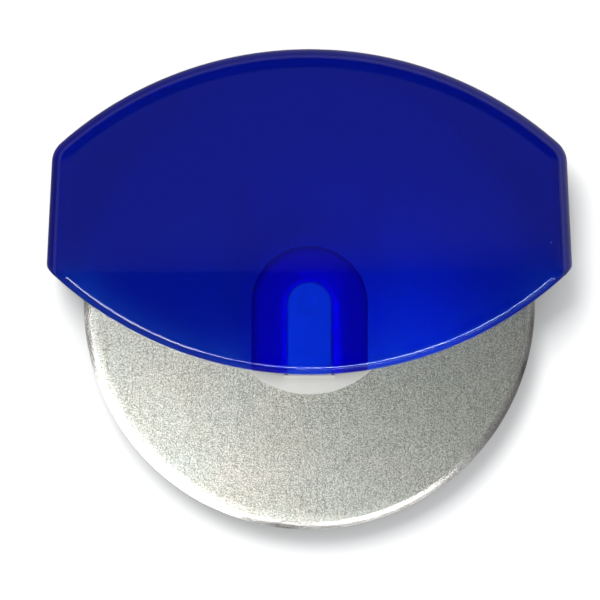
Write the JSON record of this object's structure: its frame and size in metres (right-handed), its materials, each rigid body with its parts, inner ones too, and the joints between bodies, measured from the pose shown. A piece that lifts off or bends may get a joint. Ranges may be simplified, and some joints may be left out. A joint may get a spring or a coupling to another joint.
{
  "type": "pastry cutter wheel",
  "caption": "Palm-held pastry cutter: a round steel blade turning on a white keyed carrier that slides into a translucent blue barrel-shaped handle.",
  "frame": {"origin": "on the blade's axle line, in the plane of the handle's flat rear face", "axes": "+X along the width of the handle, +Y from the axle towards the crown of the handle (the blade stands out towards -Y), +Z out of the front face along the axle"},
  "size_m": [0.117, 0.1076, 0.022],
  "materials": {
    "handle_blue": "deep blue see-through moulding, smooth, faintly frosted",
    "blade_steel": "sand-blasted and lightly brushed faces, bright ground bevel",
    "carrier_white": "satin white moulding",
    "sleeve_plastic": "natural bearing plastic, satin",
    "pin_plastic": "satin white, bevelled ends"
  },
  "bodies": {
    "handle": {"front_shell": "handle_blue", "rear_shell": "handle_blue"},
    "cartridge": {"front_carrier": "carrier_white", "rear_carrier": "carrier_white", "bearing_sleeve": "sleeve_plastic", "axle_pin": "pin_plastic"},
    "wheel": {"cutter_wheel": "blade_steel"}
  },
  "joints": [
    {"name": "cartridge_release", "type": "slide", "parent": "handle", "child": "cartridge", "axis": [0, -1, 0], "range_m": [0, 0.07]},
    {"name": "blade_spin", "type": "hinge", "parent": "cartridge", "child": "wheel", "pos_m": [0, 0, 0.011], "axis": [0, 0, 1], "continuous": true}
  ]
}
